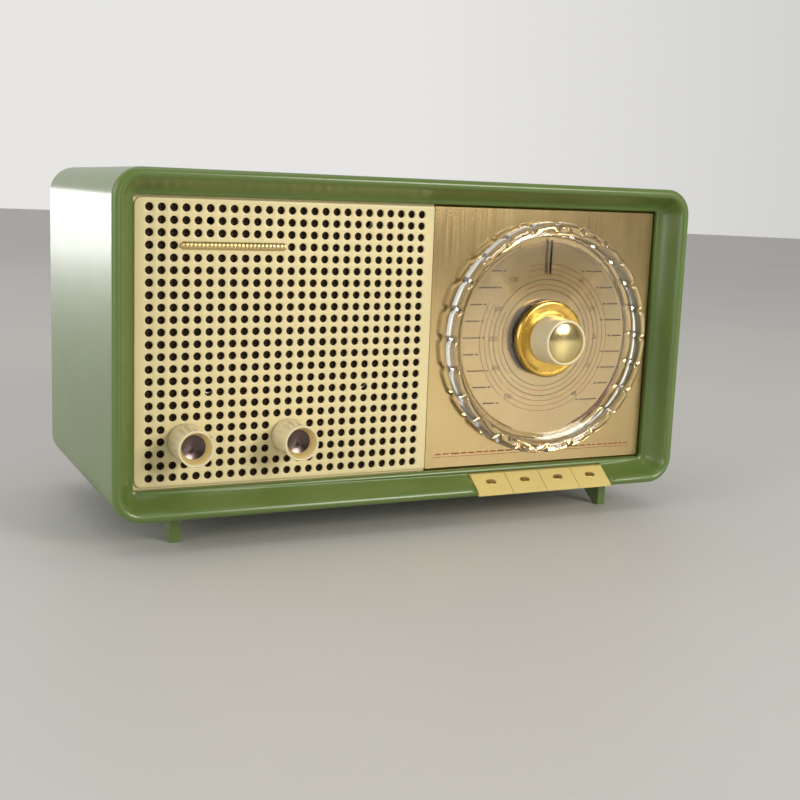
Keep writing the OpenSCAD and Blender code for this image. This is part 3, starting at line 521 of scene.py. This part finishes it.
def make_dial_print_and_painted_reflections(mats):
    """What is printed on the plate: fine circles, station marks as dashes, and plain numbers; with them, red
    and brown arcs about the knob that are painted reflections.
    """
    skin = 0.03
    brown, red = [], []

    def ring(r, w, a1=0, a2=360, steps=120):
        closed = a2 - a1 >= 360
        angles = [math.radians(a1 + (a2 - a1) * i / steps) for i in range(steps + (0 if closed else 1))]
        verts = []
        for u in (0.004, skin):
            for rr in (r - w / 2, r + w / 2):
                verts += [point(DIAL.x + rr * math.cos(a), u, DIAL.z + rr * math.sin(a)) for a in angles]
        n = len(angles)
        faces = []
        for i in range(n if closed else n - 1):
            j = (i + 1) % n
            faces += [[i, j, n + j, n + i], [2 * n + i, 3 * n + i, 3 * n + j, 2 * n + j],
                      [i, 2 * n + i, 2 * n + j, j], [n + i, n + j, 3 * n + j, 3 * n + i]]
        if not closed:
            for i in (0, n - 1):
                faces.append([i, n + i, 3 * n + i, 2 * n + i])
        return verts, faces

    def bar(x1, x2, z1, z2):
        return prism([(x1, z1), (x2, z1), (x2, z2), (x1, z2)], 0.004, skin)

    for r in (22.5, 27.2):
        brown.append(ring(r, 0.28, 0, 360, 128))
    # Painted reflections: these red and brown arcs share their radii and together make nearly whole circles
    # round the knob. They are reflection arcs painted onto the plate as print.
    for r in (24.8, 29.6, 32.0, 34.4):
        red.append(ring(r, 0.22, 200 + r, 500 - r, 120))
        brown.append(ring(r, 0.2, 150, 200 + r - 4, 40))
    red.append(ring(44.8, 1.1, -66, -20, 60))
    brown.append(ring(44.6, 0.25, -70, 70, 90))
    brown.append(ring(44.6, 0.25, 110, 250, 90))
    for side in (-1, 1):
        for i in range(9):
            z = 31 - i * 7.6
            edge = math.sqrt(max(1, 43.2 ** 2 - z ** 2))
            length = 7.5 + 2.2 * math.sin(i * 2.4 + side)
            x = DIAL.x + side * edge
            brown.append(bar(min(x, x - side * length), max(x, x - side * length),
                             DIAL.z + z - 0.28, DIAL.z + z + 0.28))
            brown.append(bar(min(x - side * (length + 1), x - side * (length + 2.2)),
                             max(x - side * (length + 1), x - side * (length + 2.2)),
                             DIAL.z + z - 0.28, DIAL.z + z + 0.28))
    for i in range(57):
        a = math.radians(-70 + i * 2.5)
        for turn in (0, math.pi):
            c, s = math.cos(a + turn), math.sin(a + turn)
            long = 1.9 if i % 4 == 0 else 1.0
            corners = [(44.6, -0.11), (44.6 + long, -0.11), (44.6 + long, 0.11), (44.6, 0.11)]
            if -62 < math.degrees(a) < -8 and turn == 0:
                continue
            outline = [(DIAL.x + r * c - t * s, DIAL.z + r * s + t * c) for r, t in corners]
            brown.append(prism(outline, 0.004, skin))
    low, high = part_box("dial_plate")
    z = low.z / MM + 8.2
    x = low.x / MM + 5
    while x < high.x / MM - 10:
        width = random.uniform(1.6, 4.6)
        red.append(bar(x, min(x + width, high.x / MM - 8), z - 0.3, z + 0.3))
        x += width + 0.9
    red.append(bar(low.x / MM + 4, high.x / MM - 7, z - 1.45, z - 1.25))
    # Both pieces carry print, and the red and brown arcs among them are painted reflections.
    for name, parts, slot in (("dial_print_and_painted_reflection_brown", brown, "print_and_painted_reflection_brown"), ("dial_print_and_painted_reflection_red", red, "print_and_painted_reflection_red")):
        add_piece(name, *joined(parts), "case", "pointer_brown", mats[slot], 30)
    numbers = [("150", -1), ("200", -1), ("250", -1), ("300", -1), ("350", -1), ("16", 1), ("19", 1), ("25", 1),
               ("31", 1), ("49", 1)]
    meshes = []
    for k, (text, side) in enumerate(numbers):
        data = bpy.data.curves.new("number", "FONT")
        data.body, data.size, data.align_x, data.align_y = text, 3.0 * MM, "CENTER", "CENTER"
        data.extrude, data.resolution_u = 0.012 * MM, 3
        o = bpy.data.objects.new("number", data)
        bpy.context.scene.collection.objects.link(o)
        z = 27 - (k % 5) * 13.5
        x = side * (math.sqrt(43.2 ** 2 - z ** 2) - 15.5)
        upright = Matrix.Rotation(math.pi / 2, 4, "X")
        o.matrix_world = Matrix.Translation(point(DIAL.x + x, 0.022, DIAL.z + z)) @ upright
        bpy.context.view_layer.update()
        part = bpy.data.meshes.new_from_object(o.evaluated_get(bpy.context.evaluated_depsgraph_get()))
        part.transform(o.matrix_world)
        meshes.append(([v.co.copy() for v in part.vertices], [list(p.vertices) for p in part.polygons]))
        bpy.data.objects.remove(o)
        bpy.data.meshes.remove(part)
    add_piece("dial_numbers", *joined(meshes), "case", "pointer_brown", mats["print_and_painted_reflection_brown"], 30, 1e-7)


def make_small_knob(name, node, insert, at, body, mats):
    """A tapered cream cup with a thin rounded lip, a conical inner wall and a dark spun insert."""
    back, front, base = reach(node)
    floor = reach(insert)[1]
    lip = 0.42
    r = base - 0.1
    collar = [(6.9, 4.0), (6.9, back + 0.25)] + [(base - 0.25 + x, back + 0.25 + y) for x, y in
              [(-0.4, -0.25), (0, -0.25), (0.18, -0.17), (0.25, 0)]]
    collar += [(base - 0.3, 5.0), (r - 0.1, front - 3.0), (r - 0.02, front - 1.2)]
    collar += arc(r - lip, front - lip, lip, 0, 180, 8)
    collar += [(r - 2 * lip - 0.15, front - 1.0), (5.2, floor + 0.1), (5.1, floor - 1.2),
               (SHAFT_BORE, floor - 1.2), (SHAFT_BORE, 4.0)]
    o = add_piece(name + "_collar", *lathe(collar, at.x, at.z, 96, True), body, "knob_cream",
                  mats["knob_cream"], 40)
    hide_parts(node)
    mouth = r - 2 * lip - 0.2
    wall = [(5.15, floor + 0.12), (mouth, front - 1.05), (mouth - 0.12, front - 1.0), (5.0, floor + 0.12)]
    add_piece(name + "_wall", *lathe(wall, at.x, at.z, 96, True), body, "insert_dark",
              mats["wall_cream"], 40)
    shell = [(0, floor - 1.1), (5.05, floor - 1.1), (5.05, floor - 0.05), (4.9, floor + 0.1), (4.6, floor),
             (3.2, floor - 0.35), (1.6, floor - 0.7), (0.7, floor - 0.8), (0.45, floor - 0.5), (0, floor - 0.4)]
    o = add_piece(name + "_insert", *lathe(shell, at.x, at.z, 96), body, "insert_dark",
                  mats["insert_" + name], 40)
    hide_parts(insert)


def make_tuning_knob(mats):
    """A cream barrel on a wide foot, with a gold dome in its mouth and an amber ring round it."""
    back, front, base = reach("tuning_knob")
    r = base - 0.95
    body = [(SHAFT_BORE, back), (base - 0.3, back), (base, back + 0.3), (base - 0.05, back + 0.9),
            (r + 0.22, front - 2.4), (r + 0.05, front - 1.2)]
    body += arc(r - 0.5, front - 0.55, 0.55, 0, 90, 6)
    body += arc(9.45, front - 0.3, 0.3, 90, 180, 4)
    body += [(9.15, front - 1.4), (SHAFT_BORE, front - 1.4)]
    o = add_piece("tuning_barrel", *lathe(body, DIAL.x, DIAL.z, 128, True), "tuning", "knob_cream",
                  mats["knob_cream"], 40)
    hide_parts("tuning_knob")
    back, front, dome_r = reach("knob_dome")
    rise = front - back - 0.6
    shape = [(0, back), (dome_r, back), (dome_r, back + 0.35), (dome_r - 0.12, back + 0.5)]
    for i in range(1, 15):
        t = 1 - i / 14
        shape.append(((dome_r - 0.35) * t, front - rise * t * t * (0.75 + 0.25 * t)))
    o = add_piece("tuning_dome", *lathe(shape, DIAL.x, DIAL.z, 128), "tuning", "dome_gold",
                  mats["dome_gold"], 40)
    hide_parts("knob_dome")
    back, front, ring_r = reach("knob_ring")
    ring = [(SHAFT_BORE, back), (ring_r - 0.2, back), (ring_r, back + 0.2), (ring_r, front - 1.2)]
    ring += [(ring_r - 0.12, front - 0.9), (ring_r - 0.6, front - 0.2), (ring_r - 1.1, front),
             (ring_r - 1.8, front - 0.06), (ring_r - 2.6, front - 0.22), (13.2, front - 0.25),
             (12.4, front - 0.1), (11.6, front), (SHAFT_BORE, front)]
    o = add_piece("amber_ring", *lathe(ring, DIAL.x, DIAL.z, 128, True), "tuning", "ring_amber",
                  mats["ring_amber"], 30)
    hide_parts("knob_ring")


def make_grille(mats):
    """The moulded grille: holes with soft front edges that widen behind, and a stepped, soft border."""
    low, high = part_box("grille_panel")
    x1, x2, z1, z2 = low.x / MM, high.x / MM, low.z / MM, high.z / MM
    thick, tuck, step = 2.0, 2.0, 0.9
    pitch, cols, rows, side = 5.0, 25, 23, 6
    knob_row, volume_col, tone_col = 19, 3, 12
    bar_row, bar_cols = 3, range(3, 12)
    fx, fz = VOLUME.x - volume_col * pitch, VOLUME.z + knob_row * pitch
    verts, faces, seen = [], [], {}

    def vert(x, u, z):
        key = (round(x, 3), round(u, 3), round(z, 3))
        if key not in seen:
            seen[key] = len(verts)
            verts.append(point(x, u, z))
        return seen[key]

    def bridge(loops):
        for one, two in zip(loops, loops[1:]):
            for i in range(len(one)):
                j = (i + 1) % len(one)
                face = []
                for v in (one[i], one[j], two[j], two[i]):
                    if v not in face:
                        face.append(v)
                if len(face) > 2:
                    faces.append(face)

    def border(cx, cz, half, per):
        out = []
        corners = [((1, -1), (0, 1)), ((1, 1), (-1, 0)), ((-1, 1), (0, -1)), ((-1, -1), (1, 0))]
        for (sx, sz), (dx, dz) in corners:
            for i in range(per):
                t = 2 * half * i / per
                out.append((cx + sx * half + dx * t, cz + sz * half + dz * t))
        return out

    def holed(cx, cz, half, per, section):
        outline = border(cx, cz, half, per)
        n = len(outline)
        turn = [math.radians(-45) + 2 * math.pi * i / n for i in range(n)]
        rings = [[vert(cx + r * math.cos(a), u, cz + r * math.sin(a)) for a in turn] for r, u in section]
        bridge([[vert(x, 0, z) for x, z in outline]] + rings + [[vert(x, -thick, z) for x, z in outline]])

    small = [(1.84, 0), (1.72, -0.06), (1.66, -0.2), (1.66, -0.75), (2.1, -thick)]
    large = [(4.8, 0), (4.65, -0.06), (4.6, -0.2), (4.6, -thick)]
    knobs = [(volume_col, knob_row), (tone_col, knob_row)]
    for c in range(cols):
        for k in range(rows):
            cx, cz = fx + c * pitch, fz - k * pitch
            if any(abs(c - a) <= 1 and abs(k - b) <= 1 for a, b in knobs):
                if (c, k) in knobs:
                    holed(cx, cz, 1.5 * pitch, 3 * side, large)
            elif k == bar_row and c in bar_cols:
                for u in (0, -thick):
                    faces.append([vert(x, u, z) for x, z in border(cx, cz, pitch / 2, side)])
            else:
                holed(cx, cz, pitch / 2, side, small)
    gx1, gx2, gz1, gz2 = fx - pitch / 2, fx + (cols - 0.5) * pitch, fz - (rows - 0.5) * pitch, fz + pitch / 2
    fan = 5

    def loop(place):
        """Points round the panel: along each side of the lattice, with a fan of points at each corner."""
        out = []
        sides = [("top", [(gx1 + i * pitch / side, gz2) for i in range(cols * side + 1)]),
                 ("right", [(gx2, gz2 - i * pitch / side) for i in range(rows * side + 1)]),
                 ("bottom", [(gx2 - i * pitch / side, gz1) for i in range(cols * side + 1)]),
                 ("left", [(gx1, gz1 + i * pitch / side) for i in range(rows * side + 1)])]
        for k, (name, line) in enumerate(sides):
            out += [place(name, x, z, None) for x, z in line]
            out += [place(name, *line[-1], (k, i / fan)) for i in range(fan + 1)]
        return out

    def level(inset, u, outside=False):
        if outside:
            xa, xb, za, zb, soft = x1, x2, z1, z2, (0.05, 0.05)
        else:
            xa, xb, za, zb = x1 + tuck + inset, x2 - inset, z1 + tuck + inset, z2 - tuck - inset
            soft = (3.2 - inset, 0.5)

        def place(name, x, z, corner):
            if corner is None:
                if name in ("top", "bottom"):
                    r1, r2 = soft
                    return vert(min(max(x, xa + r1), xb - r2), u, zb if name == "top" else za)
                r = soft[1] if name == "right" else soft[0]
                return vert(xb if name == "right" else xa, u, min(max(z, za + r), zb - r))
            k, t = corner
            r = soft[1] if k in (0, 1) else soft[0]
            cx = xb - r if k in (0, 1) else xa + r
            cz = zb - r if k in (0, 3) else za + r
            a = math.radians({0: 90, 1: 0, 2: -90, 3: -180}[k] - 90 * t)
            return vert(cx + r * math.cos(a), u, cz + r * math.sin(a))
        return loop(place)

    lattice = lambda u: loop(lambda name, x, z, corner: vert(x, u, z))
    bridge([lattice(0), level(0.35, 0), level(0.1, -0.1), level(0, -0.35), level(0, -step),
            level(0, -step, True), level(0, -thick, True), lattice(-thick)])
    o = add_piece("grille_moulding", verts, faces, "case", "grille_cream", mats["grille_cream"], 50)
    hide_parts("grille_panel")


def make_trim(mats):
    """A plain fluted bar with rounded ends, near the top of the grille."""
    low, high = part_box("trim_bar")
    x1, x2 = low.x / MM, high.x / MM
    zc, r = (low.z + high.z) / 2 / MM, (high.z - low.z) / 2 / MM
    out = (PANEL_Y - low.y) / MM
    section = [(-r, 0.0), (-r, 0.45), (-r * 0.8, 0.8), (-r * 0.45, out), (r * 0.45, out), (r * 0.8, 0.8),
               (r, 0.45), (r, 0.0)]
    verts, faces = [], []
    flutes = 27
    steps = flutes * 6
    for i in range(steps + 1):
        t = i / steps
        x = x1 + (x2 - x1) * t
        near = min(x - x1, x2 - x)
        shrink = math.sqrt(max(0.0025, 1 - max(0, 1 - near / r) ** 2))
        dip = 0.22 * max(0, math.cos(2 * math.pi * flutes * t)) ** 3 if near > r else 0
        verts += [point(x, u - (dip if u > 0.6 else 0), zc + z * shrink) for z, u in section]
    n = len(section)
    for i in range(steps):
        for k in range(n):
            j = (k + 1) % n
            faces.append([i * n + k, i * n + j, (i + 1) * n + j, (i + 1) * n + k])
    faces += [list(range(n)), [steps * n + k for k in range(n - 1, -1, -1)]]
    o = add_piece("fluted_bar", verts, faces, "case", "trim_gold", mats["trim_gold"], 40)
    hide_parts("trim_bar")


def make_cloth(mats):
    """The dark cloth stretched behind the grille, cut round the controls and the loudspeaker's posts."""
    low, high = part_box("speaker_cloth")
    y = (low.y + high.y) / 2
    basket = middle("speaker_basket") / MM
    control_r, post_r, post_gap = 5.0, 2.6, 34.5
    holes = [(VOLUME.x, VOLUME.z, control_r), (TONE.x, TONE.z, control_r)]
    holes += [(basket.x + sx * post_gap, basket.z + sz * post_gap, post_r) for sx in (-1, 1) for sz in (-1, 1)]
    step = 1.3
    nx = round((high.x - low.x) / MM / step)
    nz = round((high.z - low.z) / MM / step)
    verts, faces, inside = [], [], []
    for i in range(nx + 1):
        for k in range(nz + 1):
            x = (low.x + (high.x - low.x) * i / nx) / MM
            z = (low.z + (high.z - low.z) * k / nz) / MM
            cut = False
            for hx, hz, r in holes:
                d = math.hypot(x - hx, z - hz)
                if d < r - 0.75 * step:
                    cut = True
                elif d < r + 0.3 * step:
                    x, z = hx + (x - hx) * r / d, hz + (z - hz) * r / d
            ripple = 0.05 * math.sin(x * 0.21 + z * 0.13) * math.sin(z * 0.17)
            verts.append(Vector((x * MM, y + ripple * MM, z * MM)))
            inside.append(cut)
    for i in range(nx):
        for k in range(nz):
            quad = [i * (nz + 1) + k, (i + 1) * (nz + 1) + k, (i + 1) * (nz + 1) + k + 1, i * (nz + 1) + k + 1]
            if not any(inside[v] for v in quad):
                faces.append(quad)
    o = add_piece("speaker_fabric", verts, faces, "case", "cloth_brown", mats["cloth_brown"], 60)
    solid = o.modifiers.new("thickness", "SOLIDIFY")
    solid.thickness, solid.offset = 0.35 * MM, 0
    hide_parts("speaker_cloth")


def make_key_marks(mats):
    """An oval bronze mark set into the sloping face of each key."""
    for k in range(1, 5):
        low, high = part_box("key_%d" % k)
        x = (low.x + high.x) / 2 / MM
        top = Vector((0, PANEL_Y / MM - 5, low.z / MM + 8.1))
        foot = Vector((0, PANEL_Y / MM - 13.9, low.z / MM + 1.4))
        along = (foot - top).normalized()
        normal = Vector((0, along.z, -along.y))
        if normal.y > 0:
            normal = -normal
        centre = top + (foot - top) * 0.45
        rings = [(0.94, -0.3), (1.0, -0.02), (1.0, 0.10), (0.93, 0.2), (0.8, 0.24), (0.66, 0.12), (0.3, 0.06)]
        verts, faces = [], []
        n = 48
        for share, lift in rings:
            for i in range(n):
                a = 2 * math.pi * i / n
                p = centre + along * (1.55 * share * math.sin(a)) + normal * lift
                verts.append(Vector(((x + 2.6 * share * math.cos(a)) * MM, p.y * MM, p.z * MM)))
        for row in range(len(rings) - 1):
            for i in range(n):
                j = (i + 1) % n
                faces.append([row * n + i, row * n + j, (row + 1) * n + j, (row + 1) * n + i])
        faces += [list(range(n)), [len(verts) - n + i for i in range(n)][::-1]]
        add_piece("key_mark_%d" % k, verts, faces, "key_%d_body" % k, "trim_gold", mats["mark_bronze"], 40)


def dress_cad_nodes(mats):
    by_slot = {
        "cabinet": "cabinet_green", "front_feet": "cabinet_green", "rear_feet": "cabinet_green",
        "grille_panel": "grille_cream", "trim_bar": "trim_gold", "speaker_cloth": "cloth_brown",
        "dial_plate": "dial_gold", "back_cover": "cover_brown", "back_screws": "screw_steel",
        "mains_inlet": "dark_plastic", "inlet_pins": "brass", "socket_strip": "dark_plastic",
        "chassis": "plated_steel", "chassis_screws": "screw_steel", "valve_sockets": "wafer_brown",
        "valves": "valve_glass", "speaker_basket": "plated_steel", "speaker_magnet": "magnet_grey",
        "capacitor_frame": "plated_steel", "capacitor_stator": "aluminium", "volume_control": "plated_steel",
        "tone_control": "plated_steel", "spindle_bush": "brass", "switch_frame": "plated_steel",
        "switch_block": "wafer_brown", "key_hinge_rod": "shaft_steel", "output_transformer": "laminations",
        "mains_transformer": "laminations", "smoothing_capacitor": "aluminium", "if_cans": "aluminium",
        "ferrite_rod": "ferrite", "rod_coils": "coil_brown", "rod_clips": "clip_plastic", "drive_cord": "cord",
        "key_springs": "spring_steel", "dial_disc": "clear_plastic", "pointer": "pointer_brown",
        "tuning_knob": "knob_cream", "knob_ring": "ring_amber", "knob_dome": "dome_gold",
        "dial_spindle": "shaft_steel", "drive_pulley": "brass", "capacitor_rotor": "aluminium",
        "drive_drum": "drum_plastic", "volume_knob": "knob_cream", "volume_insert": "insert_volume",
        "volume_shaft": "shaft_steel", "tone_knob": "knob_cream", "tone_insert": "insert_tone",
        "tone_shaft": "shaft_steel", "key_1": "key_cream", "key_2": "key_cream", "key_3": "key_cream",
        "key_4": "key_cream", "switch_slide_1": "wafer_brown", "switch_slide_2": "wafer_brown",
        "switch_slide_3": "wafer_brown", "switch_slide_4": "wafer_brown", "latch_bar": "plated_steel",
        "speaker_cone": "cone_paper"}
    bevels = {"key_1": 0.45, "key_2": 0.45, "key_3": 0.45, "key_4": 0.45, "front_feet": 0.4, "rear_feet": 0.4,
              "back_cover": 0.25, "mains_inlet": 0.3, "socket_strip": 0.3, "chassis": 0.2}
    for name, slot in by_slot.items():
        o = NODES[name]
        mesh = o.data
        mesh.materials.clear()
        mesh.materials.append(mats[slot])
        mesh.shade_smooth()
        weld = o.modifiers.new("weld", "WELD")
        weld.merge_threshold = 2e-6
        if name in bevels:
            bevel = o.modifiers.new("bevel", "BEVEL")
            bevel.width = bevels[name] * MM
            bevel.segments = 3
            bevel.limit_method, bevel.angle_limit = "ANGLE", math.radians(32)
            bevel.harden_normals = False
        smooth = o.modifiers.new("weighted", "WEIGHTED_NORMAL")
        smooth.keep_sharp = True
        smooth.weight = 80
        mesh.set_sharp_from_angle(angle=math.radians(32))


mats = make_materials()
make_camera()
make_stage()
make_light()
dress_cad_nodes(mats)
make_disc(mats)
make_dial_print_and_painted_reflections(mats)
make_small_knob("volume", "volume_knob", "volume_insert", VOLUME, "volume", mats)
make_small_knob("tone", "tone_knob", "tone_insert", TONE, "tone", mats)
make_tuning_knob(mats)
make_grille(mats)
make_trim(mats)
make_cloth(mats)
make_key_marks(mats)
